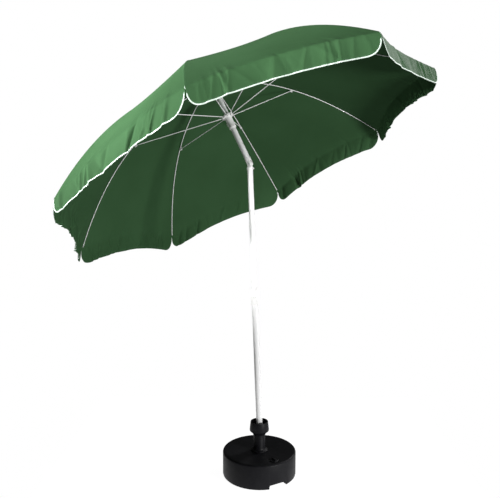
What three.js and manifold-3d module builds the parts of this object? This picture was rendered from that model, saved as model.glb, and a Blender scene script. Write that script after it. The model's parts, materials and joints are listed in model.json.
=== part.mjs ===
// A tilting garden umbrella, 2 m across, standing in a round water-filled base.
// Millimetres, +Z up, origin on the ground at the base's centre. +X is the viewer's right and -Y the front.
import * as THREE from 'three';
import { mergeVertices } from 'three/addons/utils/BufferGeometryUtils.js';
import Module from 'manifold-3d';

const wasm = await Module();
wasm.setup();

// ---- Driving dimensions ----
const GAP = 0.4; // between pieces that touch

// Base
const BASE_R = 190;
const BASE_H = 128;
const BASE_WALL = 4;
const BASE_EDGE = 9; // rounding of the drum's two edges
const WELL_R = 30.6; // hole in the drum that takes the socket tube
const WELL_FLOOR = 14;
const SOCKET_R = 30;
const SOCKET_BORE = 27;
const SOCKET_TOP = 236;
const COLLAR_TOP = 281; // mouth of the clamp nut
const COLLAR_R = 50.5;
const PORT_AZIMUTH = THREE.MathUtils.degToRad(-58.5); // the filler and the hand hold are on one side
const FILLER_AT = 142; // from the base's axis
const FILLER_R = 16;
const FILLER_RECESS = 27;
const RECESS_FLOOR = 118;
const HOLD_WIDTH = 104;
const HOLD_HEIGHT = 28;
const HOLD_DEPTH = 42;
const FILL_TOP = 100;

// Pole. Its own frame starts at the nut's mouth, and it leans because the socket is loose round it.
const POLE_LEAN = THREE.MathUtils.degToRad(-2.1);
const LOWER_R = 16;
const TUBE_R = 14; // middle and upper tubes
const TUBE_WALL = 1.2;
const TUBE_BORE = TUBE_R - TUBE_WALL;
const LOWER_BORE = LOWER_R - TUBE_WALL;
const LOWER_END = -255;
const CLAMP_BOTTOM = 617;
const CLAMP_TOP = 695;
const KNOB_Z = 646;
const MID_END = 520; // the middle tube's lower end, inside the lower tube
const TILT_Z = 1325; // the tilt pivot, above the nut's mouth

// Tilt joint. The canopy's own frame starts at the pivot, with +Z up the upper tube and +X the way it tilts.
const TILT_AZIMUTH = THREE.MathUtils.degToRad(147);
const TILT = THREE.MathUtils.degToRad(27.4);
const KNUCKLE_R = 15.5;
const KNUCKLE_END = 16; // from the pivot to the knuckle's collar
const COLLAR_LENGTH = 16;
const EYE_R = 11; // rounding of the knuckles about the pivot
const TONGUE_HALF = 6;
const EAR_OUT = 13;
const PIN_R = 3;
const BUTTON_Z = -24;
const BUTTON_R = 4;

// Canopy
const RIBS = 8;
const SECTOR = (2 * Math.PI) / RIBS;
const RIB_PHASE = THREE.MathUtils.degToRad(2.7);
const RIM_R = 991;
const DROOP = 444.5; // from the ribs' hub pivots down to the rim
const BOW = 2.27; // exponent of the ribs' curve: nearly straight inside, bent down outside
const SADDLE = 0.05; // the rim hangs lower in front and behind, and higher at the sides, by this share
const SADDLE_AZIMUTH = THREE.MathUtils.degToRad(13);
const SPREAD = 0.59; // how much nearer the axis a rib's end is for each mm that it hangs lower
const HUB_PIVOT_R = 20;
const HUB_Z = 465;
const RUNNER_PIVOT_R = 24;
const RUNNER_Z = 272;
const CLIP_R = 494; // where a stretcher meets its rib
const CLIP_DROP = 8; // from the rib's centre line down to the stretcher's end
const RIB_WIRE = 2.1;
const STRETCHER_WIRE = 2;
const RIB_SHORT = 14; // from the rim back to a rib's end
const TIP_LENGTH = 6.5;
const RING_WIRE = 1.1;
const FABRIC = 1; // thickness
const FABRIC_LIFT = 6; // from the rib's centre line up to the middle of the fabric
const FABRIC_HOLE = 12;
const RIM_SAG = 40; // how far the rim is cut back half-way between two ribs
const VALANCE = 95;
const NOTCH_DEPTH = 4; // of the valance at a rib's tip
const NOTCH_WIDTH = 0.13; // share of half a panel that the valance's corner takes

// ---- Materials ----
const paint = (color, roughness, metalness) =>
  new THREE.MeshStandardMaterial({ color, roughness, metalness });
const fabric = paint(0x2f6b3a, 0.85, 0);
const whiteTube = paint(0xf2f2f0, 0.35, 0.3);
const whitePlastic = paint(0xeeeeea, 0.5, 0);
const blackPlastic = paint(0x16161a, 0.55, 0);
const steel = paint(0xb8bcc0, 0.3, 1);
const rubber = paint(0x202020, 0.9, 0);
const water = paint(0x5f7f90, 0.2, 0);

// ---- Shapes ----
function toSolid(geometry) {
  const bare = geometry.index ? geometry.toNonIndexed() : geometry.clone();
  bare.deleteAttribute('normal');
  bare.deleteAttribute('uv');
  const merged = mergeVertices(bare, 1e-4);
  return new wasm.Manifold(new wasm.Mesh({
    numProp: 3,
    vertProperties: merged.attributes.position.array,
    triVerts: new Uint32Array(merged.index.array),
  }));
}

function toGeometry(solid) {
  const mesh = solid.getMesh();
  return new THREE.BufferGeometry()
    .setAttribute('position', new THREE.BufferAttribute(mesh.vertProperties, 3))
    .setIndex(new THREE.BufferAttribute(mesh.triVerts, 1));
}

function join(...geometries) {
  return toGeometry(geometries.map(toSolid).reduce((whole, next) => whole.add(next)));
}

function cut(geometry, ...tools) {
  return toGeometry(tools.map(toSolid).reduce((left, tool) => left.subtract(tool), toSolid(geometry)));
}

// Turns an outline of [radius, height] round +Z. It runs upwards on the outside, and down or along the axis inside.
function turned(outline, sides = 24) {
  const points = outline.map(([r, z]) => new THREE.Vector2(r, z));
  if (outline[0][0] > 0) points.push(points[0].clone());
  return new THREE.LatheGeometry(points, sides).rotateX(Math.PI / 2);
}

const tube = (outer, inner, bottom, top, sides = 24) =>
  turned([[inner, bottom], [outer, bottom], [outer, top], [inner, top]], sides);

const cylinder = (radius, bottom, top, sides = 20) =>
  turned([[0, bottom], [radius, bottom], [radius, top], [0, top]], sides);

const box = (x0, x1, y0, y1, z0, z1) =>
  new THREE.BoxGeometry(x1 - x0, y1 - y0, z1 - z0).translate((x0 + x1) / 2, (y0 + y1) / 2, (z0 + z1) / 2);

const alongY = (geometry) => geometry.rotateX(-Math.PI / 2); // +Z of the shape becomes +Y
const alongX = (geometry) => geometry.rotateY(Math.PI / 2); // +Z of the shape becomes +X

function arc(cx, cz, radius, from, to, steps) {
  return Array.from({ length: steps + 1 }, (_, i) => {
    const a = THREE.MathUtils.degToRad(from + ((to - from) * i) / steps);
    return [cx + radius * Math.cos(a), cz + radius * Math.sin(a)];
  });
}

function rod(curve, radius, sides, steps) {
  const section = new THREE.Shape(
    Array.from({ length: sides }, (_, i) => {
      const a = (2 * Math.PI * i) / sides;
      return new THREE.Vector2(radius * Math.cos(a), radius * Math.sin(a));
    }),
  );
  return new THREE.ExtrudeGeometry(section, { steps, extrudePath: curve });
}

const ring = (radius, wire, around = 6, along = 24) => new THREE.TorusGeometry(radius, wire, around, along);

const root = new THREE.Group();

function frame(parent, name) {
  const group = new THREE.Group();
  group.name = name;
  parent.add(group);
  return group;
}

function part(parent, name, geometry, material) {
  const mesh = new THREE.Mesh(geometry, material);
  mesh.name = name;
  parent.add(mesh);
  return mesh;
}

// ---- Base: a blow-moulded drum with a central well, a filler and a hand hold ----
const portFrame = (geometry) => geometry.rotateZ(PORT_AZIMUTH);

function handHold(grow) {
  const half = HOLD_WIDTH / 2 + grow;
  const top = HOLD_HEIGHT + grow;
  const outline = new THREE.Shape();
  outline.moveTo(-half, -1);
  outline.lineTo(half, -1);
  outline.lineTo(half, top - 14);
  outline.quadraticCurveTo(half - 2, top, half - 18, top);
  outline.lineTo(18 - half, top);
  outline.quadraticCurveTo(2 - half, top, -half, top - 14);
  const block = new THREE.ExtrudeGeometry(outline, {
    depth: HOLD_DEPTH + grow + 20,
    bevelEnabled: false,
    curveSegments: 4,
  });
  // The outline's x and y become Y and Z, and its depth +X.
  block.rotateX(Math.PI / 2).rotateZ(Math.PI / 2);
  return portFrame(block.translate(BASE_R - HOLD_DEPTH - grow, 0, 0));
}

function waterSpace(shrink, top) {
  const ringSpace = turned([
    [WELL_R + BASE_WALL + shrink, BASE_WALL + shrink],
    [BASE_R - BASE_WALL - 6 - shrink, BASE_WALL + shrink],
    [BASE_R - BASE_WALL - shrink, BASE_WALL + 6 + shrink],
    [BASE_R - BASE_WALL - shrink, top - 6],
    [BASE_R - BASE_WALL - 6 - shrink, top],
    [WELL_R + BASE_WALL + shrink, top],
  ], 36);
  return cut(ringSpace, handHold(BASE_WALL + shrink));
}

function baseDrum() {
  const e = BASE_EDGE;
  const outside = turned([
    [0, 0],
    ...arc(BASE_R - e, e, e, -90, 0, 3),
    ...arc(BASE_R - e, BASE_H - e, e, 0, 90, 3),
    [BASE_R - 22, BASE_H - 2],
    [0, BASE_H - 2],
  ], 48);
  const at = new THREE.Vector3(FILLER_AT, 0, 0).applyAxisAngle(new THREE.Vector3(0, 0, 1), PORT_AZIMUTH);
  const recess = cylinder(FILLER_RECESS, RECESS_FLOOR, BASE_H + 5, 24).translate(at.x, at.y, 0);
  const filler = cylinder(FILLER_R, 60, BASE_H, 20).translate(at.x, at.y, 0);
  const pocket = cylinder(FILLER_RECESS + BASE_WALL, RECESS_FLOOR - BASE_WALL, BASE_H, 24);
  const space = cut(waterSpace(0, BASE_H - 2 - BASE_WALL), pocket.translate(at.x, at.y, 0));
  const well = cylinder(WELL_R, WELL_FLOOR, BASE_H + 5, 24);
  return cut(outside, space, handHold(0), well, recess, filler);
}

part(root, 'base_drum', baseDrum(), blackPlastic);
part(root, 'ballast_fill', waterSpace(GAP, FILL_TOP), water);

const FLANGE_Z = BASE_H - 2 + GAP;
const socketTube = turned([
  [SOCKET_BORE, WELL_FLOOR + GAP],
  [SOCKET_R, WELL_FLOOR + GAP],
  [SOCKET_R, FLANGE_Z],
  [44, FLANGE_Z],
  [44, FLANGE_Z + 4],
  [SOCKET_R + 3, FLANGE_Z + 9],
  [SOCKET_R, FLANGE_Z + 20],
  [SOCKET_R, SOCKET_TOP],
  [SOCKET_BORE, SOCKET_TOP],
]);
part(root, 'socket_tube', socketTube, blackPlastic);

const collarNut = turned([
  [SOCKET_R + GAP + 0.2, 212],
  [33, 212],
  [34, 218],
  [COLLAR_R - 1, 232],
  [COLLAR_R, 237],
  [COLLAR_R - 5, COLLAR_TOP],
  [40.5, COLLAR_TOP],
  [40, 243],
  [SOCKET_R + GAP + 0.2, 243],
], 32);
part(root, 'collar_nut', collarNut, blackPlastic);

const filler = frame(root, 'filler_frame');
filler.rotation.z = PORT_AZIMUTH;
filler.translateX(FILLER_AT);
const CAP_SEAT = 122.5;
const capDisc = turned([
  [0, 106],
  [FILLER_R - 0.8, 106],
  [FILLER_R - 0.8, CAP_SEAT],
  [23, CAP_SEAT],
  [23, 127],
  [21, 129],
  [0, 129],
]);
const capGrip = box(-19, 19, -3, 3, 128, 135);
part(filler, 'filler_cap', join(capDisc, capGrip), blackPlastic);
part(filler, 'filler_seal', ring(19.5, 1.6).translate(0, 0, RECESS_FLOOR + 2.1), rubber);

// ---- Pole ----
const pole = frame(root, 'pole_frame');
pole.position.z = COLLAR_TOP;
pole.rotation.y = POLE_LEAN;

const ADAPTER_SEAT = SOCKET_TOP - COLLAR_TOP + 1.5; // its flange stands on the socket tube

function poleAdapter() {
  const sleeve = turned([
    [LOWER_R + GAP, -95],
    [19.5, -95],
    [22, -60],
    [22, ADAPTER_SEAT],
    [28.4, ADAPTER_SEAT],
    [28.4, ADAPTER_SEAT + 5],
    [LOWER_R + GAP, ADAPTER_SEAT + 5],
  ]);
  const slits = [0, 1, 2].map((k) => box(-40, 40, -1, 1, -96, -52).rotateZ((k * Math.PI) / 3));
  return cut(sleeve, ...slits);
}
part(pole, 'pole_adapter', poleAdapter(), blackPlastic);

const screwHole = (radius, out) => alongY(cylinder(radius, -out, 0, 16)).translate(0, 0, KNOB_Z);
const lowerTube = tube(LOWER_R, LOWER_BORE, LOWER_END, CLAMP_TOP - 6);
part(pole, 'lower_tube', cut(lowerTube, screwHole(5, 30)), whiteTube);

const endPlug = turned([
  [0, LOWER_END - 9],
  [11, LOWER_END - 9],
  [LOWER_R - 0.5, LOWER_END - 5],
  [LOWER_R - 0.5, LOWER_END - GAP],
  [LOWER_BORE - GAP, LOWER_END - GAP],
  [LOWER_BORE - GAP, LOWER_END + 25],
  [0, LOWER_END + 25],
], 24);
part(pole, 'lower_end_plug', endPlug, blackPlastic);

function heightClamp() {
  const bore = LOWER_R + GAP;
  const guide = TUBE_R + 0.6;
  const sleeve = turned([
    [bore, CLAMP_BOTTOM],
    [19, CLAMP_BOTTOM],
    [20, CLAMP_BOTTOM + 5],
    [20, CLAMP_TOP - 15],
    [18.5, CLAMP_TOP - 4],
    [17, CLAMP_TOP],
    [guide, CLAMP_TOP],
    [guide, CLAMP_TOP - 5],
    [bore, CLAMP_TOP - 5],
  ]);
  const boss = alongY(turned([[0, -28], [9, -28], [12, -18], [12, -10], [0, -10]], 24)).translate(0, 0, KNOB_Z);
  const inside = cylinder(bore, CLAMP_BOTTOM - 5, CLAMP_TOP - 5, 24);
  return cut(join(sleeve, boss), inside, screwHole(4.5, 40));
}
part(pole, 'height_clamp', heightClamp(), whitePlastic);

function heightKnob() {
  const lobes = 8;
  const outline = new THREE.Shape(
    Array.from({ length: lobes * 6 }, (_, i) => {
      const a = (2 * Math.PI * i) / (lobes * 6);
      const r = 12.4 + 0.9 * Math.cos(lobes * a);
      return new THREE.Vector2(r * Math.cos(a), r * Math.sin(a));
    }),
  );
  const head = new THREE.ExtrudeGeometry(outline, { depth: 15, bevelEnabled: false }).translate(0, 0, -44);
  const stud = cylinder(4, -43, -(TUBE_R + GAP), 16);
  return alongY(join(head, stud)).translate(0, 0, KNOB_Z);
}
part(pole, 'height_knob', heightKnob(), whitePlastic);

const MID_TOP = TILT_Z - KNUCKLE_END - COLLAR_LENGTH - GAP;
const midTube = tube(TUBE_R, TUBE_BORE, MID_END, MID_TOP);
const tiltFrame = frame(pole, 'tilt_frame');
tiltFrame.position.z = TILT_Z;
tiltFrame.rotation.z = TILT_AZIMUTH;

part(pole, 'mid_tube', midTube, whiteTube);

const guidePlug = turned([
  [0, MID_END - 12],
  [TUBE_R - 0.2, MID_END - 12],
  [TUBE_R + 0.3, MID_END - 6],
  [TUBE_R + 0.3, MID_END - GAP],
  [TUBE_BORE - GAP, MID_END - GAP],
  [TUBE_BORE - GAP, MID_END + 20],
  [0, MID_END + 20],
], 24);
part(pole, 'mid_tube_guide', guidePlug, blackPlastic);

// ---- Tilt joint: a tongue on the middle tube between two ears on the upper tube ----
const buttonShape = (radius, from, to) =>
  alongX(cylinder(radius, from, to, 16)).rotateZ(Math.PI).translate(0, 0, BUTTON_Z);
const pinHole = () => alongY(cylinder(PIN_R + 0.3, -20, 20, 24));

// The plug and collar that both knuckles have, pointing away from the pivot along +Z.
const knuckleStub = () => turned([
  [0, KNUCKLE_END],
  [KNUCKLE_R, KNUCKLE_END],
  [KNUCKLE_R, KNUCKLE_END + COLLAR_LENGTH],
  [TUBE_BORE - GAP, KNUCKLE_END + COLLAR_LENGTH],
  [TUBE_BORE - GAP, 62],
  [0, 62],
]);

function lowerKnuckle() {
  const tongue = join(
    box(-EYE_R, EYE_R, -TONGUE_HALF, TONGUE_HALF, 0, KNUCKLE_END + 1),
    alongY(cylinder(EYE_R, -TONGUE_HALF, TONGUE_HALF, 24)),
  );
  const whole = join(knuckleStub(), tongue).rotateX(Math.PI);
  return cut(whole, pinHole(), buttonShape(BUTTON_R + GAP, -6, 30));
}

function upperKnuckle() {
  const ears = [-1, 1].map((side) => {
    const inner = side * (TONGUE_HALF + GAP);
    const outer = side * EAR_OUT;
    const [y0, y1] = [Math.min(inner, outer), Math.max(inner, outer)];
    return join(box(-EYE_R, EYE_R, y0, y1, 0, KNUCKLE_END + 1), alongY(cylinder(EYE_R, y0, y1, 24)));
  });
  const round = toSolid(cylinder(KNUCKLE_R, -20, 70, 24));
  return cut(toGeometry(toSolid(join(knuckleStub(), ...ears)).intersect(round)), pinHole());
}

part(tiltFrame, 'tilt_lower_knuckle', lowerKnuckle(), whitePlastic);
const pinHead = EAR_OUT + GAP;
const tiltPin = turned([
  [0, -pinHead - 2],
  [5, -pinHead - 1],
  [5, -pinHead],
  [PIN_R, -pinHead],
  [PIN_R, pinHead],
  [5, pinHead],
  [5, pinHead + 1],
  [0, pinHead + 2],
], 24);
part(tiltFrame, 'tilt_pin', alongY(tiltPin), steel);
part(tiltFrame, 'tilt_button', buttonShape(BUTTON_R, 6, 22), whitePlastic);

function coil(radius, wire, turns, length) {
  class Helix extends THREE.Curve {
    getPoint(t) {
      const a = 2 * Math.PI * turns * t;
      return new THREE.Vector3(radius * Math.cos(a), radius * Math.sin(a), length * t);
    }
  }
  return rod(new Helix(), wire, 5, turns * 10);
}
part(tiltFrame, 'tilt_spring', alongX(coil(2.8, 0.5, 3, 10)).translate(-5, 0, BUTTON_Z), steel);

// ---- Upper tube, hub and runner ----
const canopy = frame(tiltFrame, 'canopy_frame');
canopy.rotation.y = TILT;

part(canopy, 'tilt_upper_knuckle', upperKnuckle(), whitePlastic);
const upperTube = tube(TUBE_R, TUBE_BORE, KNUCKLE_END + COLLAR_LENGTH + GAP, HUB_Z - 5);
part(canopy, 'upper_tube', upperTube, whiteTube);

const HUB_SLOT = 16.2; // radius where the hub's slots begin
const RUNNER_SLOT = 19.6;
const ribAzimuth = (i) => (i + 0.5) * SECTOR + RIB_PHASE;

// Slots for the eyes of the ribs or stretchers, and a groove for the ring wire that they turn on.
function slotted(body, pivotR, pivotZ, slotFrom, below, above) {
  const slots = Array.from({ length: RIBS }, (_, i) =>
    box(slotFrom, 60, -3.4, 3.4, pivotZ - below, pivotZ + above).rotateZ(ribAzimuth(i)));
  const groove = tube(pivotR + 1.6, pivotR - 1.6, pivotZ - 1.6, pivotZ + above);
  return cut(body, ...slots, groove);
}

const hubBody = turned([
  [TUBE_R + 0.3, HUB_Z - 34],
  [17.5, HUB_Z - 34],
  [17.5, HUB_Z - 8],
  [27, HUB_Z - 4],
  [27, HUB_Z + 3],
  [13, HUB_Z + 4],
  [9, HUB_Z + 4],
  [9, HUB_Z + 17],
  [0, HUB_Z + 17],
  [0, HUB_Z - 4.5],
  [TUBE_R + 0.3, HUB_Z - 4.5],
]);
part(canopy, 'top_hub', slotted(hubBody, HUB_PIVOT_R, HUB_Z, HUB_SLOT, 12, 6), whitePlastic);
part(canopy, 'hub_wire', ring(HUB_PIVOT_R, RING_WIRE).translate(0, 0, HUB_Z), steel);

const FINIAL_Z = HUB_Z + FABRIC_LIFT + 3.5;
const finial = turned([
  [9.4, FINIAL_Z],
  [28, FINIAL_Z],
  [28, FINIAL_Z + 3],
  [22, FINIAL_Z + 10],
  [11, FINIAL_Z + 15],
  [7.5, FINIAL_Z + 22],
  [9.5, FINIAL_Z + 28],
  ...arc(0, FINIAL_Z + 30, 9.5, 15, 90, 4),
  [0, FINIAL_Z + 10],
  [9.4, FINIAL_Z + 10],
]);
part(canopy, 'finial', finial, whitePlastic);

const runnerFrame = frame(canopy, 'runner_frame');
runnerFrame.position.z = RUNNER_Z;
const runnerBody = turned([
  [TUBE_R + 0.5, -70],
  [17, -70],
  [19, -66],
  [19, -60],
  [18, -57],
  [18, -14],
  [21, -9],
  [30, -5],
  [30, 4],
  [20, 6],
  [18, 12],
  [TUBE_R + 0.5, 12],
]);
const latchSlot = box(10, 30, -4.4, 4.4, -48, -32);
part(runnerFrame, 'runner', cut(slotted(runnerBody, RUNNER_PIVOT_R, 0, RUNNER_SLOT, 12, 7), latchSlot), whitePlastic);
part(runnerFrame, 'runner_wire', ring(RUNNER_PIVOT_R, RING_WIRE), steel);
part(runnerFrame, 'runner_latch', box(TUBE_R + 0.6, 22.5, -4, 4, -47.6, -32.4), whitePlastic);

// ---- Ribs, stretchers and fabric ----
const droop = (azimuth) => DROOP * (1 + SADDLE * Math.cos(2 * (azimuth - SADDLE_AZIMUTH)));
const rimRadius = (azimuth) => RIM_R - SPREAD * (droop(azimuth) - DROOP);

// All ribs share one curve as far as the stretchers, and beyond them each bends to its own droop.
function ribHeight(r, azimuth) {
  const rim = rimRadius(azimuth);
  const bend = droop(azimuth) - DROOP * (rim / RIM_R) ** BOW;
  const outside = Math.max(0, (r - CLIP_R) / (rim - CLIP_R));
  return HUB_Z - DROOP * (r / RIM_R) ** BOW - bend * outside ** 2;
}

class RibLine extends THREE.Curve {
  constructor(azimuth) {
    super();
    this.azimuth = azimuth;
  }

  getPoint(t) {
    const start = HUB_PIVOT_R + EYE_START;
    const r = start + t * (rimRadius(this.azimuth) - RIB_SHORT - start);
    return new THREE.Vector3(r - HUB_PIVOT_R, 0, ribHeight(r, this.azimuth) - HUB_Z);
  }
}

const EYE_START = 2.6; // from the eye's centre to where its wire begins
const wireEye = () => ring(2.8, 1, 6, 10).rotateX(Math.PI / 2); // round a ring wire, its hole along Y
const clipZ = ribHeight(CLIP_R, 0) - CLIP_DROP;

function ribGeometry(azimuth) {
  const slope = Math.atan2(ribHeight(CLIP_R - 10, azimuth) - ribHeight(CLIP_R, azimuth), 10);
  const saddle = cut(box(-8, 8, -4.6, 4.6, -5, 7), box(-9, 9, -2.9, 2.9, -6, 4.6));
  saddle.rotateY(slope).translate(CLIP_R - HUB_PIVOT_R, 0, clipZ - HUB_Z);
  return join(rod(new RibLine(azimuth), RIB_WIRE, 6, 12), wireEye(), saddle);
}

const stretcherRun = new THREE.Vector2(CLIP_R - RUNNER_PIVOT_R, clipZ - RUNNER_Z);

function stretcherGeometry() {
  const wire = alongX(cylinder(STRETCHER_WIRE, EYE_START, stretcherRun.length() + 3, 8));
  return join(wire, wireEye()).rotateY(-stretcherRun.angle());
}

function ribTip(azimuth) {
  const end = rimRadius(azimuth) - RIB_SHORT;
  const slope = Math.atan2(ribHeight(end - 10, azimuth) - ribHeight(end, azimuth), 10);
  const cap = turned([[0, GAP], [2.6, GAP], [3.1, 2], [2.4, 5.5], [0, TIP_LENGTH]], 12);
  return alongX(cap).rotateY(slope).translate(end - HUB_PIVOT_R, 0, ribHeight(end, azimuth) - HUB_Z);
}

// A point of the fabric near one rib: across is -1 to 1 over the half panels on its two sides, and
// along is 0 to 1 from the hub to the rim, then 1 to 2 down the valance.
function fabricPoint(across, along, azimuth, down) {
  const half = SECTOR / 2;
  const side = Math.abs(across);
  const angle = across * half;
  const rim = rimRadius(azimuth + angle) - RIM_SAG * (2 * side - side * side);
  const r = FABRIC_HOLE + Math.min(along, 1) * (rim - FABRIC_HOLE);
  const chord = (r * Math.cos(half)) / Math.cos(half - Math.abs(angle));
  const seam = side === 1 ? GAP : 0;
  const depth = THREE.MathUtils.lerp(NOTCH_DEPTH, VALANCE, Math.sqrt(Math.min(1, side / NOTCH_WIDTH)));
  return new THREE.Vector3(
    chord * Math.cos(angle),
    chord * Math.sin(angle) - Math.sign(across) * seam,
    ribHeight(r, azimuth + angle) + FABRIC_LIFT,
  ).addScaledVector(down, Math.max(along - 1, 0) * depth);
}

function fabricGeometry(azimuth) {
  const down = worldDown.clone().applyAxisAngle(new THREE.Vector3(0, 0, 1), -azimuth);
  const acrossAt = [-1, -0.55, -NOTCH_WIDTH, 0, NOTCH_WIDTH, 0.55, 1];
  const alongAt = [0, 0.1, 0.2, 0.3, 0.4, 0.5, 0.6, 0.7, 0.8, 0.9, 0.95, 1, 2];
  const middle = alongAt.map((v) => acrossAt.map((u) => fabricPoint(u, v, azimuth, down)));
  const rows = middle.length;
  const columns = acrossAt.length;
  const at = (i, j) => middle[THREE.MathUtils.clamp(i, 0, rows - 1)][THREE.MathUtils.clamp(j, 0, columns - 1)];
  const positions = [];
  for (const offset of [FABRIC / 2, -FABRIC / 2]) {
    for (let i = 0; i < rows; i++) {
      for (let j = 0; j < columns; j++) {
        const alongDir = at(i + 1, j).clone().sub(at(i - 1, j));
        const acrossDir = at(i, j + 1).clone().sub(at(i, j - 1));
        const normal = alongDir.cross(acrossDir).normalize();
        positions.push(...middle[i][j].clone().addScaledVector(normal, offset));
      }
    }
  }
  const outer = (i, j) => i * columns + j;
  const inner = (i, j) => rows * columns + outer(i, j);
  const index = [];
  const quad = (a, b, c, d) => index.push(a, b, c, a, c, d);
  for (let i = 0; i + 1 < rows; i++) {
    for (let j = 0; j + 1 < columns; j++) {
      quad(outer(i, j), outer(i + 1, j), outer(i + 1, j + 1), outer(i, j + 1));
      quad(inner(i, j), inner(i, j + 1), inner(i + 1, j + 1), inner(i + 1, j));
    }
    quad(outer(i, 0), inner(i, 0), inner(i + 1, 0), outer(i + 1, 0));
    quad(outer(i + 1, columns - 1), inner(i + 1, columns - 1), inner(i, columns - 1), outer(i, columns - 1));
  }
  for (let j = 0; j + 1 < columns; j++) {
    quad(outer(0, j + 1), inner(0, j + 1), inner(0, j), outer(0, j));
    quad(outer(rows - 1, j), inner(rows - 1, j), inner(rows - 1, j + 1), outer(rows - 1, j + 1));
  }
  return new THREE.BufferGeometry()
    .setAttribute('position', new THREE.Float32BufferAttribute(positions, 3))
    .setIndex(index);
}

root.updateMatrixWorld(true);
const worldDown = new THREE.Vector3(0, 0, -1).transformDirection(canopy.matrixWorld.clone().invert());
const stretcher = stretcherGeometry();

for (let i = 0; i < RIBS; i++) {
  const azimuth = ribAzimuth(i);
  const label = i + 1;
  const ribFrame = frame(canopy, `rib_frame_${label}`);
  ribFrame.rotation.z = azimuth;
  ribFrame.position.z = HUB_Z;
  ribFrame.translateX(HUB_PIVOT_R);
  part(ribFrame, `rib_${label}`, ribGeometry(azimuth), whiteTube);
  part(ribFrame, `rib_tip_${label}`, ribTip(azimuth), whitePlastic);

  const stretcherFrame = frame(runnerFrame, `stretcher_frame_${label}`);
  stretcherFrame.rotation.z = azimuth;
  stretcherFrame.translateX(RUNNER_PIVOT_R);
  part(stretcherFrame, `stretcher_${label}`, stretcher, whiteTube);

  const panel = part(canopy, `canopy_${label}`, fabricGeometry(azimuth), fabric);
  panel.rotation.z = azimuth;
}

export default root;
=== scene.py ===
"""Looks of a tilting garden umbrella in its round water-filled base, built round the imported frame.

Metres, +Z up. The canopy and its wires are built in the canopy's own axes, which come from the joints.
"""
import json
import math

import bpy
import numpy as np
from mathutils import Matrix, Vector


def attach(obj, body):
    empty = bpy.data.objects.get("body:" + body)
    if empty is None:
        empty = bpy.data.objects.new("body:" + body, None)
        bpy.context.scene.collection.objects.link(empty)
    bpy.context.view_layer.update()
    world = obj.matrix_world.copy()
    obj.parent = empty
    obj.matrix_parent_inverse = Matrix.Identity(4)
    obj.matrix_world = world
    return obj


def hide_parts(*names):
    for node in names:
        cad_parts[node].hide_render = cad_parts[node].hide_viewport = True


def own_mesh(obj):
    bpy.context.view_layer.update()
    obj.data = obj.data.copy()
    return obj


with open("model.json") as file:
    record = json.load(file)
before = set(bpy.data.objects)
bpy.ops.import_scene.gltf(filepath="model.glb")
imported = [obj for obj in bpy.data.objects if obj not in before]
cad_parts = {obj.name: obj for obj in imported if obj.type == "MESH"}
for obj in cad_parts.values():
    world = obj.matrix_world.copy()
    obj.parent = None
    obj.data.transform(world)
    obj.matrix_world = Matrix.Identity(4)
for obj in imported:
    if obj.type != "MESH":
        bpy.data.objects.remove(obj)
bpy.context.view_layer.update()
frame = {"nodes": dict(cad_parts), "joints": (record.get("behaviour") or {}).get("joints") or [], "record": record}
JOINTS = {joint["name"]: joint for joint in frame["joints"]}

# ---- Driving dimensions, in metres ----
RIBS = 8
HALF = math.pi / RIBS  # half the angle between two ribs
RIM_R = 0.991
DROOP = 0.4445  # from the ribs' hub pivots down to the rim
BOW = 2.27  # exponent of the ribs' curve
RIM_SLOPE = DROOP * BOW / RIM_R  # of that curve at the rim
SADDLE = 0.05  # share by which the rim hangs lower at the azimuth below and opposite it, and higher between
SADDLE_AZIMUTH = math.radians(13)
SPREAD = 0.59  # how much nearer the axis a rib's end is for each metre that it hangs lower
RIM_SAG = 0.040  # how far the rim is cut back half-way between two ribs
HOLLOW = 0.008  # how far a panel curves inwards half-way between two ribs
HUB_HOLE = 0.012  # radius of the fabric's centre hole
VALANCE = 0.095
NOTCH_DEPTH = 0.004  # depth of the valance at each rib
CORNER = 0.17  # share of half a panel that the valance's rounded corner takes
FOLD = 0.016  # length over which the fabric turns from dome to valance
FLARE = 0.30  # share of the dome's slope in the valance's direction; the rest is straight down
FABRIC = 0.0010
FABRIC_LIFT = 0.006  # from the ribs' centre lines up to the middle of the fabric
SEAM_WIDTH = 0.009  # of the felled seam over each rib
SEAM_HEIGHT = 0.0006
TAPE_WIDTH = 0.0046
TAPE_THICKNESS = 0.0012
THREAD_SPACING = 0.0011  # of the weave, drawn coarser than real threads
STITCH = 0.0035  # length of one stitch and its gap
STITCH_HALF_WIDTH = 0.0004
SEAM_STITCHES = 0.0030  # from the middle of a rib's seam to each of its two rows
HEM_STITCHES = 0.0095  # from the hem up to its row
PLEATS_NEAR = 6  # small folds in the valance on each side of a rib
PLEATS_FAR = 5  # and farther from it
PLEAT_SEED = 11
# Strength of the folds at a side of a rib, by the rib's number and the side, where it isn't 1.
GATHERED = {(7, -1): 2.4, (6, 1): 0.6, (3, -1): 1.2, (5, -1): 0.35, (4, 1): 0.35}
# The hem's slow waves: how many go round, their share of the height, and their phase.
WAVES = ((29, 0.5, 1.3), (43, 0.4, 0.7), (61, 0.2, 2.1))
WAVE_HEIGHT = 0.004
WIRE = 0.0021  # radius of a rib
STRETCHER_WIRE = 0.0020
WIRE_SHORT = 0.014  # from the rim back to a rib's end
EYE_R = 0.0028  # radius of the eye at a rib's or stretcher's inner end
EYE_WIRE = 0.0010
EYE_START = 0.0026  # from the pivot out to where the straight wire starts
CLIP_R = 0.494  # radius at which the stretchers hold the ribs
CLIP_DROP = 0.008
CLIP_LENGTH = 0.016
RIVET_OUT = 0.0045  # from the middle of a clip to its rivet's heads
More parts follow.
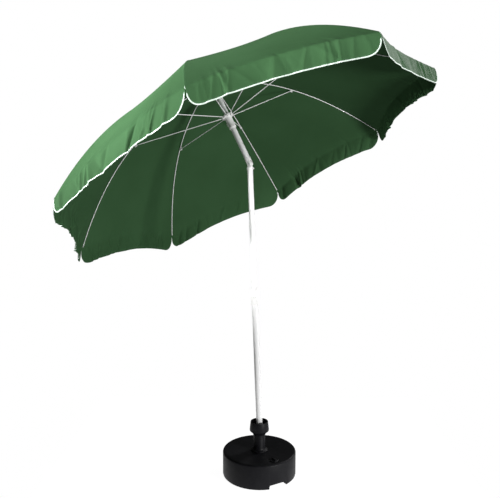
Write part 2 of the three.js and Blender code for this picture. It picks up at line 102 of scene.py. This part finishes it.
# How far a piece reaches into the next one, at these places from the hub to the hem.
UNDERLAP_ALONG = (0, 0.1, 0.35, 0.8, 1.0, 1.0 + VALANCE)
UNDERLAP = (0.003, 0.013, 0.028, 0.027, 0.018, 0.007)
UNDERLAP_THICKNESS = 0.0002
INSIDE = 1 - 1e-9  # keeps the edges of a piece inside its own half-panels
EDGE_ROUNDING = 0.0006  # of the moulded and pressed parts
FLOOR_HALF = 1.1


# ---- The canopy's own axes, from the joints ----
def joint_point(name):
    return np.array(JOINTS[name]["pos_m"], float)


def joint_axis(name):
    axis = np.array(JOINTS[name]["axis"], float)
    return axis / np.linalg.norm(axis)


UP = -joint_axis("runner_slide")
EX = joint_axis("runner_latch_pull")
EY = np.cross(UP, EX)
HUB = np.mean([joint_point(f"rib_{k}_fold") for k in range(1, RIBS + 1)], axis=0)
RUNNER = np.mean([joint_point(f"stretcher_{k}_fold") for k in range(1, RIBS + 1)], axis=0)
HUB_PIVOT_R = np.linalg.norm(joint_point("rib_1_fold") - HUB)
RUNNER_PIVOT_R = np.linalg.norm(joint_point("stretcher_1_fold") - RUNNER)
RUNNER_DROP = np.dot(HUB - RUNNER, UP)
NEARLY_UP = UP + 0.01 * EX  # a direction that no wire is parallel to
TO_CANOPY = np.stack([EX, EY, UP])  # rows: world vector to the canopy's own axes
DOWN = TO_CANOPY @ np.array([0.0, 0.0, -1.0])
UPRIGHT = np.array([0, 0, 1.0])  # the pole's direction in the canopy's own axes


def rib_azimuth(k):
    pivot = joint_point(f"rib_{k}_fold") - HUB
    return math.atan2(np.dot(pivot, EY), np.dot(pivot, EX)) % (2 * math.pi)


def from_canopy(points):
    """Points in the canopy's own axes, from the hub, become points in the frame."""
    return HUB + np.asarray(points, float) @ TO_CANOPY


def droop(azimuth):
    """How far a rib's end hangs below the hub's pivots."""
    return DROOP * (1 + SADDLE * np.cos(2 * (azimuth - SADDLE_AZIMUTH)))


def rim_radius(azimuth):
    return RIM_R - SPREAD * (droop(azimuth) - DROOP)


def rib_drop(r, azimuth):
    """Height of a rib above the hub's pivots, so below zero: one curve for all as far as the stretchers,
    then a bend of the rib's own."""
    r = np.asarray(r, float)
    rim = rim_radius(azimuth)
    bend = droop(azimuth) - DROOP * (rim / RIM_R) ** BOW
    outside = np.maximum(0, (r - CLIP_R) / (rim - CLIP_R))
    return -DROOP * (r / RIM_R) ** BOW - bend * outside ** 2


# ---- Mesh building: a shell is a pair of vertices and faces ----
def shells(*parts):
    """Several shells as one."""
    vertices, faces = [], []
    for more_vertices, more_faces in parts:
        start = len(vertices)
        vertices += [tuple(v) for v in more_vertices]
        faces += [tuple(start + i for i in face) for face in more_faces]
    return vertices, faces


def add_mesh(name, shell, material, smooth=True, uv=None, normals=None):
    """A new object from a shell. uv and normals are given for each vertex."""
    mesh = bpy.data.meshes.new(name)
    mesh.from_pydata([tuple(v) for v in shell[0]], [], shell[1])
    if uv is not None:
        layer = mesh.uv_layers.new(name="cloth")
        corners = np.empty(len(mesh.loops), int)
        mesh.loops.foreach_get("vertex_index", corners)
        layer.data.foreach_set("uv", np.asarray(uv, np.float32)[corners].ravel())
    mesh.polygons.foreach_set("use_smooth", [smooth] * len(mesh.polygons))
    mesh.validate()
    if normals is not None:
        mesh.normals_split_custom_set_from_vertices([tuple(n) for n in normals])
    obj = bpy.data.objects.new(name, mesh)
    bpy.context.scene.collection.objects.link(obj)
    obj.data.materials.append(material)
    return obj


def unit(vectors):
    vectors = np.asarray(vectors, float)
    return vectors / np.linalg.norm(vectors, axis=-1, keepdims=True)


def sweep(path, section, normals, closed=False):
    """Sweeps a closed section of (side, out) points along a path, out along the given normals."""
    path = np.asarray(path, float)
    if closed:
        tangents = unit(np.roll(path, -1, axis=0) - np.roll(path, 1, axis=0))
    else:
        tangents = unit(np.gradient(path, axis=0))
    out = unit(normals - tangents * np.sum(normals * tangents, axis=1, keepdims=True))
    side = np.cross(tangents, out)
    rings = [p + s * side_i + o * out_i
             for p, side_i, out_i in zip(path, side, out) for s, o in section]
    n, m = len(path), len(section)
    faces = []
    for i in range(n if closed else n - 1):
        j = (i + 1) % n
        for a in range(m):
            b = (a + 1) % m
            faces.append((i * m + a, i * m + b, j * m + b, j * m + a))
    if not closed:
        faces.append(tuple(range(m - 1, -1, -1)))
        faces.append(tuple((n - 1) * m + a for a in range(m)))
    return rings, faces


def circle(radius, sides):
    angles = [2 * math.pi * i / sides for i in range(sides)]
    return [(radius * math.cos(a), radius * math.sin(a)) for a in angles]


def wire(path, radius, sides=12):
    """A round wire along a path."""
    path = np.asarray(path, float)
    return sweep(path, circle(radius, sides), np.tile(NEARLY_UP, (len(path), 1)))


def loop(centre, axis, radius, wire_radius, steps=20, sides=10):
    """A wire bent to a closed ring round an axis."""
    axis = unit(axis)
    first = unit(np.cross(axis, NEARLY_UP))
    second = np.cross(axis, first)
    path = [np.asarray(centre, float) + x * first + y * second for x, y in circle(radius, steps)]
    return sweep(path, circle(wire_radius, sides), np.tile(axis, (steps, 1)), closed=True)


def revolve(outline, origin, axis, sides=16):
    """Turns an outline of (radius, height) round an axis. The outline starts and ends on the axis."""
    axis = unit(axis)
    not_along_it = [0.3, 0.9, 0.1]
    first = unit(np.cross(axis, not_along_it))
    second = np.cross(axis, first)
    vertices, rows = [], []
    for r, z in outline:
        centre = np.asarray(origin, float) + axis * z
        if r < 1e-6:
            rows.append([len(vertices)] * sides)
            vertices.append(centre)
            continue
        rows.append(list(range(len(vertices), len(vertices) + sides)))
        vertices += [centre + x * first + y * second for x, y in circle(r, sides)]
    faces = []
    for low, high in zip(rows, rows[1:]):
        for i in range(sides):
            j = (i + 1) % sides
            corners = tuple(dict.fromkeys([low[i], low[j], high[j], high[i]]))
            if len(corners) > 2:
                faces.append(corners)
    return vertices, faces


def extrude(outline, origin, x, y, depth):
    """A flat outline of (x, y) points, anticlockwise, made solid by half the depth on each side of it."""
    x, y = unit(x), unit(y)
    z = np.cross(x, y)
    origin = np.asarray(origin, float)
    vertices = [origin + a * x + b * y + side * depth / 2 * z for side in (-1, 1) for a, b in outline]
    n = len(outline)
    faces = [tuple(range(n - 1, -1, -1)), tuple(range(n, 2 * n))]
    faces += [(i, (i + 1) % n, n + (i + 1) % n, n + i) for i in range(n)]
    return vertices, faces


def round_edges(obj):
    """Rounds a mesh's sharp edges and smooths the rest. It changes only modifiers and shading."""
    weld = obj.modifiers.new("weld", "WELD")
    weld.merge_threshold = 1e-5
    bevel = obj.modifiers.new("edge", "BEVEL")
    bevel.width = EDGE_ROUNDING
    bevel.segments = 3
    bevel.limit_method = "ANGLE"
    bevel.angle_limit = math.radians(32)
    bevel.harden_normals = False
    obj.data.polygons.foreach_set("use_smooth", [True] * len(obj.data.polygons))


# ---- Materials ----
def material(name, color, roughness, metallic=0.0):
    made = bpy.data.materials.new(name)
    made.use_nodes = True
    shader = made.node_tree.nodes["Principled BSDF"]
    shader.inputs["Base Color"].default_value = (*color, 1)
    shader.inputs["Roughness"].default_value = roughness
    shader.inputs["Metallic"].default_value = metallic
    return made


class Nodes:
    """Short names for adding nodes and links to one material."""

    def __init__(self, made):
        self.tree = made.node_tree
        self.shader = self.tree.nodes["Principled BSDF"]

    def add(self, kind, **values):
        node = self.tree.nodes.new(kind)
        for name, value in values.items():
            if name in node.inputs:
                node.inputs[name].default_value = value
            else:
                setattr(node, name, value)
        return node

    def link(self, output, target):
        self.tree.links.new(output, target)

    def object_noise(self, scale, detail=2.0, roughness=0.5):
        """Noise in the piece's own coordinates, so that it stays on the piece when that moves."""
        where = self.add("ShaderNodeTexCoord")
        noise = self.add("ShaderNodeTexNoise", Scale=scale, Detail=detail, Roughness=roughness)
        self.link(where.outputs["Object"], noise.inputs["Vector"])
        return noise.outputs["Fac"]

    def ramp(self, value, low, high):
        """A colour between low and high that follows the middle of a noise's range."""
        ramp = self.add("ShaderNodeValToRGB")
        ramp.color_ramp.elements[0].position = 0.3
        ramp.color_ramp.elements[1].position = 0.7
        ramp.color_ramp.elements[0].color = (*low, 1)
        ramp.color_ramp.elements[1].color = (*high, 1)
        self.link(value, ramp.inputs["Fac"])
        return ramp.outputs["Color"]

    def spread(self, value, low, high):
        """A number from low to high in place of 0 to 1."""
        spread = self.add("ShaderNodeMapRange")
        spread.inputs["To Min"].default_value = low
        spread.inputs["To Max"].default_value = high
        self.link(value, spread.inputs["Value"])
        return spread.outputs["Result"]

    def bump(self, height, strength, distance):
        bump = self.add("ShaderNodeBump", Strength=strength, Distance=distance)
        self.link(height, bump.inputs["Height"])
        self.link(bump.outputs["Normal"], self.shader.inputs["Normal"])

    def math(self, operation, a, b=None):
        node = self.add("ShaderNodeMath", operation=operation)
        for socket, value in zip(node.inputs, (a, b)):
            if value is None:
                continue
            if isinstance(value, (int, float)):
                socket.default_value = value
            else:
                self.link(value, socket)
        return node.outputs["Value"]

    def wave(self, value, length):
        """A sine wave of value, with the given wavelength."""
        return self.math("SINE", self.math("MULTIPLY", value, 2 * math.pi / length))

    def stitches(self, distance, place, run):
        """A row of stitches: 1 on the thread, where distance is close to place, with gaps along run."""
        off_row = self.math("ABSOLUTE", self.math("SUBTRACT", distance, place))
        row = self.math("LESS_THAN", off_row, STITCH_HALF_WIDTH)
        gap = self.math("GREATER_THAN", self.wave(run, STITCH), -0.3)
        return self.math("MULTIPLY", row, gap)


def fabric_material():
    """Plain-woven polyester, slightly faded: two sets of threads in the cloth's own coordinates, and rows
    of stitches beside each rib and along the hem."""
    made = material("canopy_fabric", (0.026, 0.068, 0.027), 0.85)
    n = Nodes(made)
    cloth = n.add("ShaderNodeUVMap", uv_map="cloth")
    parts = n.add("ShaderNodeSeparateXYZ")
    n.link(cloth.outputs["UV"], parts.inputs["Vector"])
    across, down = parts.outputs["X"], parts.outputs["Y"]
    hem = n.add("ShaderNodeAttribute", attribute_name="from_hem").outputs["Fac"]
    seam_row = n.stitches(n.math("ABSOLUTE", across), SEAM_STITCHES, down)
    hem_row = n.stitches(hem, HEM_STITCHES, across)
    stitch = n.math("MAXIMUM", seam_row, hem_row)
    shade = n.ramp(n.object_noise(3.0, 4.0), (0.0235, 0.0625, 0.0240), (0.0290, 0.0745, 0.0300))
    thread = n.add("ShaderNodeMix", data_type="RGBA")
    n.link(stitch, thread.inputs["Factor"])
    n.link(shade, thread.inputs["A"])
    thread.inputs["B"].default_value = (0.05, 0.13, 0.06, 1)
    n.link(thread.outputs["Result"], n.shader.inputs["Base Color"])
    weave = n.math("MULTIPLY", n.wave(across, THREAD_SPACING), n.wave(down, THREAD_SPACING))
    n.bump(n.math("ADD", weave, n.math("MULTIPLY", stitch, 3.0)), 0.25, 0.0002)
    n.link(n.spread(n.object_noise(14.0, 3.0), 0.78, 0.92), n.shader.inputs["Roughness"])
    n.shader.inputs["Specular IOR Level"].default_value = 0.08
    return made


def tape_material():
    """Pale binding tape, slightly uneven in colour."""
    made = material("binding_tape", (0.44, 0.52, 0.46), 0.75)
    n = Nodes(made)
    shade = n.ramp(n.object_noise(30.0, 3.0), (0.41, 0.49, 0.43), (0.47, 0.55, 0.49))
    n.link(shade, n.shader.inputs["Base Color"])
    n.bump(n.object_noise(1500.0), 0.3, 0.0002)
    return made


def paint_material():
    """White powder coat on steel: a faint orange-peel and slightly uneven gloss."""
    made = material("white_paint", (0.77, 0.77, 0.77), 0.28)
    n = Nodes(made)
    n.bump(n.object_noise(420.0, 2.0), 0.06, 0.0002)
    n.link(n.spread(n.object_noise(9.0, 4.0), 0.22, 0.36), n.shader.inputs["Roughness"])
    shade = n.ramp(n.object_noise(5.0, 4.0), (0.75, 0.75, 0.75), (0.79, 0.79, 0.79))
    n.link(shade, n.shader.inputs["Base Color"])
    n.shader.inputs["Coat Weight"].default_value = 0.3
    return made


def white_plastic_material():
    """Moulded nylon, matt and slightly uneven."""
    made = material("white_plastic", (0.74, 0.74, 0.73), 0.45)
    n = Nodes(made)
    n.bump(n.object_noise(900.0, 2.0), 0.08, 0.0002)
    n.link(n.spread(n.object_noise(25.0, 3.0), 0.40, 0.55), n.shader.inputs["Roughness"])
    shade = n.ramp(n.object_noise(12.0, 3.0), (0.72, 0.72, 0.71), (0.76, 0.76, 0.75))
    n.link(shade, n.shader.inputs["Base Color"])
    return made


def black_plastic_material():
    """Blow-moulded polyethylene: a fine leather-like grain, greyer where it is scuffed."""
    made = material("black_plastic", (0.006, 0.006, 0.008), 0.55)
    n = Nodes(made)
    shade = n.ramp(n.object_noise(18.0, 6.0, 0.65), (0.0035, 0.0035, 0.0048), (0.0070, 0.0070, 0.0085))
    n.link(shade, n.shader.inputs["Base Color"])
    n.link(n.spread(n.object_noise(45.0, 4.0), 0.38, 0.62), n.shader.inputs["Roughness"])
    n.bump(n.object_noise(650.0, 3.0, 0.6), 0.22, 0.0004)
    n.shader.inputs["Specular IOR Level"].default_value = 0.12
    return made


def zinc_material():
    """Galvanised steel of the small metal parts."""
    made = material("zinc_steel", (0.62, 0.63, 0.65), 0.32, 1.0)
    n = Nodes(made)
    n.link(n.spread(n.object_noise(200.0, 4.0), 0.24, 0.45), n.shader.inputs["Roughness"])
    n.bump(n.object_noise(900.0), 0.05, 0.0001)
    return made


def rubber_material():
    """Soft black rubber of the filler cap's seal."""
    made = material("seal_rubber", (0.02, 0.02, 0.02), 0.8)
    n = Nodes(made)
    n.bump(n.object_noise(1200.0), 0.2, 0.0002)
    return made


def water_material():
    """The water inside the base, which nothing shows."""
    made = material("ballast_water", (0.35, 0.45, 0.50), 0.05)
    n = Nodes(made)
    n.bump(n.object_noise(20.0), 0.05, 0.001)
    n.shader.inputs["Transmission Weight"].default_value = 0.6
    n.shader.inputs["IOR"].default_value = 1.33
    return made


FABRIC_MAT = fabric_material()
TAPE_MAT = tape_material()
PAINT_MAT = paint_material()
SLOT_MATERIALS = {
    "canopy_fabric": FABRIC_MAT,
    "white_paint": PAINT_MAT,
    "white_plastic": white_plastic_material(),
    "black_plastic": black_plastic_material(),
    "zinc_steel": zinc_material(),
    "seal_rubber": rubber_material(),
    "ballast_water": water_material(),
}


def finish_cad_nodes():
    """Every CAD node gets its slot's material, and rounded edges where it has sharp ones."""
    for entry in frame["record"]["subparts"]:
        node = frame["nodes"][entry["node"]]
        node.data.materials.clear()
        node.data.materials.append(SLOT_MATERIALS[entry["material_slot"]])
        if entry["material_slot"] not in ("canopy_fabric", "ballast_water"):
            round_edges(node)


# ---- Canopy ----
def valance_depth(side):
    """Depth of the valance at a share of half a panel from a rib, with a rounded corner next to the rib."""
    roundness = 2.2
    near = np.clip(1 - np.asarray(side) / CORNER, 0, 1)
    return NOTCH_DEPTH + (VALANCE - NOTCH_DEPTH) * (1 - near ** roundness) ** (1 / roundness)


def make_pleats():
    """Small folds round the valance: azimuth, half width, height and slant of each. The seed fixes them."""
    random = np.random.default_rng(PLEAT_SEED)
    folds = []
    for k in range(1, RIBS + 1):
        for side in (-1, 1):
            near = rib_azimuth(k) + side * HALF * random.uniform(0.05, 0.55, PLEATS_NEAR)
            strength = GATHERED.get((k, side), 1.0)
            folds += [(where, random.uniform(0.007, 0.013), strength * random.uniform(0.003, 0.008),
                       side * random.uniform(-0.2, 0.5))
                      for where in near]
            far = rib_azimuth(k) + side * HALF * random.uniform(0.4, 1.0, PLEATS_FAR)
            folds += [(where, random.uniform(0.010, 0.024),
                       min(strength, 1) * random.uniform(-0.0075, 0.0075), random.normal(0, 0.6))
                      for where in far]
    return folds


ALL_PLEATS = make_pleats()


def pleat_height(azimuth, below):
    """How far the folds push the cloth out. below is the distance down from the rim, negative above it.
    The folds start faintly on the dome and are deepest in the valance."""
    share = np.clip(below / VALANCE, 0, 1)
    at_rim, fade = 0.3, 0.03
    hanging = at_rim + 1.9 * share ** 0.8 * (1 - 0.62 * share)
    strength = np.where(below > 0, hanging, at_rim * np.exp(below / fade))
    total = 0
    for where, width, height, slant in ALL_PLEATS:
        turn = (azimuth - where - slant * np.maximum(below, 0) + math.pi) % (2 * math.pi) - math.pi
        total = total + height * np.exp(-(np.abs(turn) * RIM_R / width) ** 1.7)
    return total * strength


def billow(azimuth):
    """The slow wave of the hem; whole numbers of waves keep it continuous."""
    return sum(share * np.sin(count * azimuth + phase) for count, share, phase in WAVES)


def from_rib(azimuth):
    """Angle from the nearest rib."""
    return (azimuth - rib_azimuth(1) + HALF) % (2 * HALF) - HALF


def towards_middle(azimuth):
    """0 at a rib and 1 half-way between two ribs, where it is level."""
    side = np.abs(from_rib(azimuth)) / HALF
    return 2 * side - side ** 2


def outwards(azimuth):
    return np.stack([np.cos(azimuth), np.sin(azimuth), 0 * azimuth], axis=-1)


def dome_rim(azimuth):
    """Radius of the rim, which is cut back between the ribs."""
    return rim_radius(azimuth) - RIM_SAG * towards_middle(azimuth)


def on_dome(azimuth, share):
    """A point of the dome before its folds, share of the way from the hub to the rim. Between two ribs
    the fabric is stretched nearly straight."""
    r = HUB_HOLE + share * (dome_rim(azimuth) - HUB_HOLE)
    chord = r * math.cos(HALF) / np.cos(HALF - np.abs(from_rib(azimuth)))
    height = rib_drop(r, azimuth) + FABRIC_LIFT
    stretched = np.stack([chord * np.cos(azimuth), chord * np.sin(azimuth), height], axis=-1)
    hollow = HOLLOW * towards_middle(azimuth) * np.sin(math.pi * np.clip(share, 0, 1) ** 1.4)
    return stretched - hollow[..., None] * unit(outwards(azimuth) * RIM_SLOPE * share[..., None] + UPRIGHT)


def down_valance(outward, hang):
    """The way from the rim to a point that hangs below it, and the share of the turn made there."""
    turn = np.clip(hang / FOLD, 0, 1)[..., None]
    tangent = unit(outward - RIM_SLOPE * UPRIGHT)
    direction = unit(tangent * FLARE + DOWN * (1 - FLARE))
    turned = (tangent * (turn - turn ** 2 / 2) + direction * (turn ** 2 / 2)) * FOLD
    return turned + direction * np.maximum(hang - FOLD, 0)[..., None], turn


def canopy_point(azimuth, along):
    """A point in the middle of the fabric, in the canopy's axes. along is 0 to 1 from the hub to the rim,
    then the distance down the valance in metres plus 1."""
    azimuth, along = np.broadcast_arrays(np.asarray(azimuth, float), np.asarray(along, float))
    share = np.minimum(along, 1)
    hang = np.maximum(along - 1, 0)
    outward = outwards(azimuth)
    fall, turn = down_valance(outward, hang)
    below = np.where(along > 1, hang, (share - 1) * dome_rim(azimuth))
    free = np.clip(np.abs(from_rib(azimuth)) / HALF * 7, 0, 1)
    push = pleat_height(azimuth, below) * free + WAVE_HEIGHT * billow(azimuth) * free * hang / VALANCE
    from_valance = unit(outward - DOWN * np.sum(outward * DOWN, axis=-1, keepdims=True))
    from_dome = unit(outward * RIM_SLOPE + UPRIGHT)
    out = unit(from_valance * turn + from_dome * (1 - turn))
    return on_dome(azimuth, share) + fall + push[..., None] * out


def canopy_normal(azimuth, along):
    """The fabric's outward normal, the same on both sides of a join between two pieces."""
    round_step, down_step = 2e-4, 1e-3
    azimuth, along = np.broadcast_arrays(np.asarray(azimuth, float), np.asarray(along, float))
    down = canopy_point(azimuth, along + down_step) - canopy_point(azimuth, along - down_step)
    round_rim = canopy_point(azimuth + round_step, along) - canopy_point(azimuth - round_step, along)
    return unit(np.cross(down, round_rim))


def underlap(azimuth, along):
    """Azimuths of columns of fabric past a piece's edge. They are thin and hidden inside the next piece,
    and close the gap between the two when the runner comes down."""
    steps = np.array([0.05, 0.3, 0.55, 0.78, 1.0])
    past = np.interp(along, UNDERLAP_ALONG, UNDERLAP)[:, None] * steps
    radius = np.linalg.norm(canopy_point(azimuth, along)[:, :2], axis=1)
    return azimuth + past / radius[:, None]


def both_sides(near):
    """Shares of half a panel on both sides of a rib, from those on one side."""
    return np.concatenate([-near[:0:-1], near])


def cloth_grid(k):
    """Azimuth, place from hub to hem, and half thickness of each point of a piece. The rows go from the
    hub to the hem. The columns go from the middle of one panel, over rib k, to the middle of the next and
    on through the lap."""
    near = np.concatenate([[0, 0.005, 0.010, 0.016, 0.026, 0.042], np.linspace(0.06, CORNER, 6),
                           np.linspace(CORNER, 1, 66)[1:]])
    sides = both_sides(near)
    depth = valance_depth(np.abs(sides))
    rows = [np.full(len(sides), share) for share in np.linspace(0, 1, 30)]
    rows += [1 + share * depth for share in np.linspace(0, 1, 26)[1:] ** 1.1]
    along = np.array(rows)
    azimuth = np.broadcast_to(rib_azimuth(k) + sides * HALF * INSIDE, along.shape)
    lap = underlap(rib_azimuth(k) + HALF, along[:, -1])
    lap_columns = lap.shape[1]
    half = np.repeat([FABRIC / 2, UNDERLAP_THICKNESS / 2], [len(sides), lap_columns])[:, None]
    azimuth = np.concatenate([azimuth, lap], axis=1)
    along = np.concatenate([along, np.repeat(along[:, -1:], lap_columns, axis=1)], axis=1)
    return azimuth, along, half


def thick_sheet_faces(rows, columns):
    """Faces of a sheet whose outer grid of vertices is followed by its inner one, with a closed edge."""
    inner = rows * columns
    faces = []
    for i in range(rows - 1):
        for j in range(columns - 1):
            a = i * columns + j
            b = a + columns
            faces.append((a, b, b + 1, a + 1))
            faces.append((a + inner, a + 1 + inner, b + 1 + inner, b + inner))
    edge = [i * columns for i in range(rows)]
    edge += [(rows - 1) * columns + j for j in range(1, columns)]
    edge += [i * columns + columns - 1 for i in range(rows - 2, -1, -1)]
    edge += list(range(columns - 2, 0, -1))
    for a, b in zip(edge, edge[1:] + edge[:1]):
        faces.append((a, a + inner, b + inner, b))
    return faces


def canopy_piece(k):
    """The fabric over rib k, from the middle of one panel to the middle of the next, with its lap."""
    azimuth, along, half = cloth_grid(k)
    middle = canopy_point(azimuth, along)
    normal = canopy_normal(azimuth, np.clip(along, 2e-3, None))
    run = np.cumsum(np.linalg.norm(np.diff(middle, axis=0, prepend=middle[:1]), axis=2), axis=0)
    from_seam = np.sin(azimuth - rib_azimuth(k)) * np.linalg.norm(middle[..., :2], axis=2)
    raised = SEAM_HEIGHT * np.clip(3 - 3 * np.abs(from_seam) / (SEAM_WIDTH / 2), 0, 1) * (along <= 1)
    outer = from_canopy(middle + normal * (half + raised[..., None])).reshape(-1, 3)
    inner = from_canopy(middle - normal * half).reshape(-1, 3)
    shell = (np.concatenate([outer, inner]), thick_sheet_faces(*along.shape))
    outer_normal = (normal @ TO_CANOPY).reshape(-1, 3)
    uv = np.stack([from_seam, run], axis=-1).reshape(-1, 2)
    obj = add_mesh(f"canopy_cloth_{k}", shell, FABRIC_MAT, uv=np.concatenate([uv, uv]),
                   normals=np.concatenate([outer_normal, -outer_normal]))
    on_the_dome = 0.2  # any distance that is past the hem's stitches
    from_hem = np.where(along > 1, along[-1] - along, on_the_dome).ravel()
    attribute = obj.data.attributes.new("from_hem", "FLOAT", "POINT")
    attribute.data.foreach_set("value", np.concatenate([from_hem, from_hem]).astype(np.float32))
    area = sum(p.area for p in obj.data.polygons) / 2
    return obj, area


def binding(k):
    """The pale tape sewn along the hem, on the outer side."""
    sides = both_sides(np.concatenate([np.linspace(0, CORNER, 14), np.linspace(CORNER, 1, 80)[1:]]))
    azimuths = rib_azimuth(k) + sides * HALF * INSIDE
    along = 1 + valance_depth(np.abs(sides))
    path = canopy_point(azimuths, along)
    normal = canopy_normal(azimuths, along)
    low = FABRIC / 2 - 0.0003
    top = FABRIC / 2 + TAPE_THICKNESS
    below_hem = 0.0009
    section = [(below_hem, low), (below_hem, top * 0.8), (0, top), (-TAPE_WIDTH * 0.5, top * 1.08),
               (-TAPE_WIDTH * 0.9, top), (-TAPE_WIDTH, low)]
    return add_mesh(f"hem_tape_{k}", sweep(from_canopy(path), section, normal @ TO_CANOPY), TAPE_MAT)


def clip_point(azimuth):
    """Where a stretcher's end sits in its rib's saddle."""
    height = float(rib_drop(CLIP_R, 0)) - CLIP_DROP
    return np.array([CLIP_R * math.cos(azimuth), CLIP_R * math.sin(azimuth), height])


def saddle(azimuth):
    """The folded clip under a rib that holds its stretcher's end, and the heads of its rivet."""
    radial = np.array([math.cos(azimuth), math.sin(azimuth), 0]) @ TO_CANOPY
    tangential = np.array([-math.sin(azimuth), math.cos(azimuth), 0]) @ TO_CANOPY
    step = 0.01
    slope = float(rib_drop(CLIP_R - step, azimuth) - rib_drop(CLIP_R, azimuth)) / step
    along = unit(radial - slope * UP)
    out = np.cross(along, tangential)
    centre = from_canopy(clip_point(azimuth))
    fold = [(-0.0046, -0.005), (-0.0029, -0.005), (-0.0029, 0.0046), (0.0029, 0.0046), (0.0029, -0.005),
            (0.0046, -0.005), (0.0046, 0.0055), (0.0031, 0.007), (-0.0031, 0.007), (-0.0046, 0.0055)]
    clip = extrude(fold, centre, tangential, out, CLIP_LENGTH)
    head = [(0, 0), (0.0020, 0), (0.0018, 0.0007), (0.0010, 0.0011), (0, 0.0012)]
    rivets = [revolve(head, centre + side * RIVET_OUT * tangential, side * tangential) for side in (-1, 1)]
    return shells(clip, *rivets)


def rib_wire(k):
    """A rib: its wire, the eye at the hub, and the saddle for its stretcher."""
    azimuth = rib_azimuth(k)
    r = np.linspace(HUB_PIVOT_R + EYE_START, rim_radius(azimuth) - WIRE_SHORT, 48)
    path = np.stack([r * math.cos(azimuth), r * math.sin(azimuth), rib_drop(r, azimuth)], axis=-1)
    eye = loop(joint_point(f"rib_{k}_fold"), joint_axis(f"rib_{k}_fold"), EYE_R, EYE_WIRE)
    shell = shells(wire(from_canopy(path), WIRE), eye, saddle(azimuth))
    rib = add_mesh(f"rib_wire_{k}", shell, PAINT_MAT)
    rib.modifiers.new("shade", "EDGE_SPLIT").split_angle = math.radians(40)
    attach(rib, f"rib_{k}")
    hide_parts(f"rib_{k}")


def stretcher_wire(k):
    """A stretcher: its wire from the runner to the rib's saddle, and the eye at the runner."""
    azimuth = rib_azimuth(k)
    start = np.array([RUNNER_PIVOT_R * math.cos(azimuth), RUNNER_PIVOT_R * math.sin(azimuth), -RUNNER_DROP])
    end = clip_point(azimuth)
    first = start + unit(end - start) * EYE_START
    path = [first + (end - start) * share for share in np.linspace(0, 1.0, 12)]
    eye = loop(joint_point(f"stretcher_{k}_fold"), joint_axis(f"stretcher_{k}_fold"), EYE_R, EYE_WIRE)
    shell = shells(wire(from_canopy(path), STRETCHER_WIRE), eye)
    stretcher = add_mesh(f"stretcher_wire_{k}", shell, PAINT_MAT)
    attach(stretcher, f"stretcher_{k}")
    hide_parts(f"stretcher_{k}")


def build_canopy():
    """Cloth, tape, ribs and stretchers, each attached to the body of its rib or stretcher."""
    for k in range(1, RIBS + 1):
        cloth, area = canopy_piece(k)
        tape = binding(k)
        for piece in (cloth, tape):
            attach(piece, f"rib_{k}")
            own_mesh(piece)
        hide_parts(f"canopy_{k}")
        rib_wire(k)
        stretcher_wire(k)


# ---- Stage ----
def build_camera():
    """At eye height, three metres in front."""
    data = bpy.data.cameras.new("camera")
    data.lens = 43.82
    data.sensor_width = 36
    camera = bpy.data.objects.new("camera", data)
    camera.location = (0.0, -3.042, 1.520)
    camera.rotation_euler = (math.radians(83.62), 0, math.radians(0.91))
    bpy.context.scene.collection.objects.link(camera)
    bpy.context.scene.camera = camera


def soft_light(name, place, target, spread, blend, power):
    """A large soft lamp whose beam is spread degrees wide."""
    data = bpy.data.lights.new(name, "SPOT")
    data.shadow_soft_size = 0.5
    data.spot_size = math.radians(spread)
    data.spot_blend = blend
    data.energy = power
    light = bpy.data.objects.new(name, data)
    light.location = place
    light.rotation_euler = (Vector(target) - Vector(place)).to_track_quat("-Z", "Y").to_euler()
    bpy.context.scene.collection.objects.link(light)


def build_floor():
    """A white floor that shines a little, so that it can't be told from the backdrop."""
    floor_material = material("floor", (0.30, 0.30, 0.30), 0.9)
    floor_shader = floor_material.node_tree.nodes["Principled BSDF"]
    floor_shader.inputs["Emission Color"].default_value = (1, 1, 1, 1)
    floor_shader.inputs["Emission Strength"].default_value = 0.97
    corners = [(x * FLOOR_HALF, y * FLOOR_HALF, -0.0005) for x, y in ((-1, -1), (1, -1), (1, 1), (-1, 1))]
    floor = add_mesh("floor", (corners, [(0, 1, 2, 3)]), floor_material, smooth=False)


def build_world():
    """A dim even sky that lights the umbrella, in front of a plain white backdrop."""
    world = bpy.data.worlds.new("studio")
    world.use_nodes = True
    tree = world.node_tree
    sky = tree.nodes["Background"]
    sky.inputs["Color"].default_value = (1, 1, 1, 1)
    sky.inputs["Strength"].default_value = 0.10
    backdrop = tree.nodes.new("ShaderNodeBackground")
    backdrop.inputs["Color"].default_value = (1, 1, 1, 1)
    rays = tree.nodes.new("ShaderNodeLightPath")
    mix = tree.nodes.new("ShaderNodeMixShader")
    tree.links.new(rays.outputs["Is Camera Ray"], mix.inputs["Fac"])
    tree.links.new(sky.outputs["Background"], mix.inputs[1])
    tree.links.new(backdrop.outputs["Background"], mix.inputs[2])
    tree.links.new(mix.outputs["Shader"], tree.nodes["World Output"].inputs["Surface"])
    bpy.context.scene.world = world


def build_stage():
    build_floor()
    build_world()
    soft_light("key", (-4.7, -2.3, 2.1), (-0.70, -0.50, 1.82), 15.5, 0.2, 5200)
    soft_light("front", (-1.2, -4.8, 2.55), (-0.05, -0.75, 2.06), 18, 0.4, 1560)
    soft_light("fill", (4.0, -3.4, 0.9), (-0.3, 0, 1.5), 60, 0.5, 1040)
    soft_light("back", (3.7, 3.2, 3.4), (0.2, 0, 1.8), 34, 0.5, 1300)
    bpy.context.scene.view_settings.view_transform = "Standard"


finish_cad_nodes()
build_canopy()
build_stage()
build_camera()
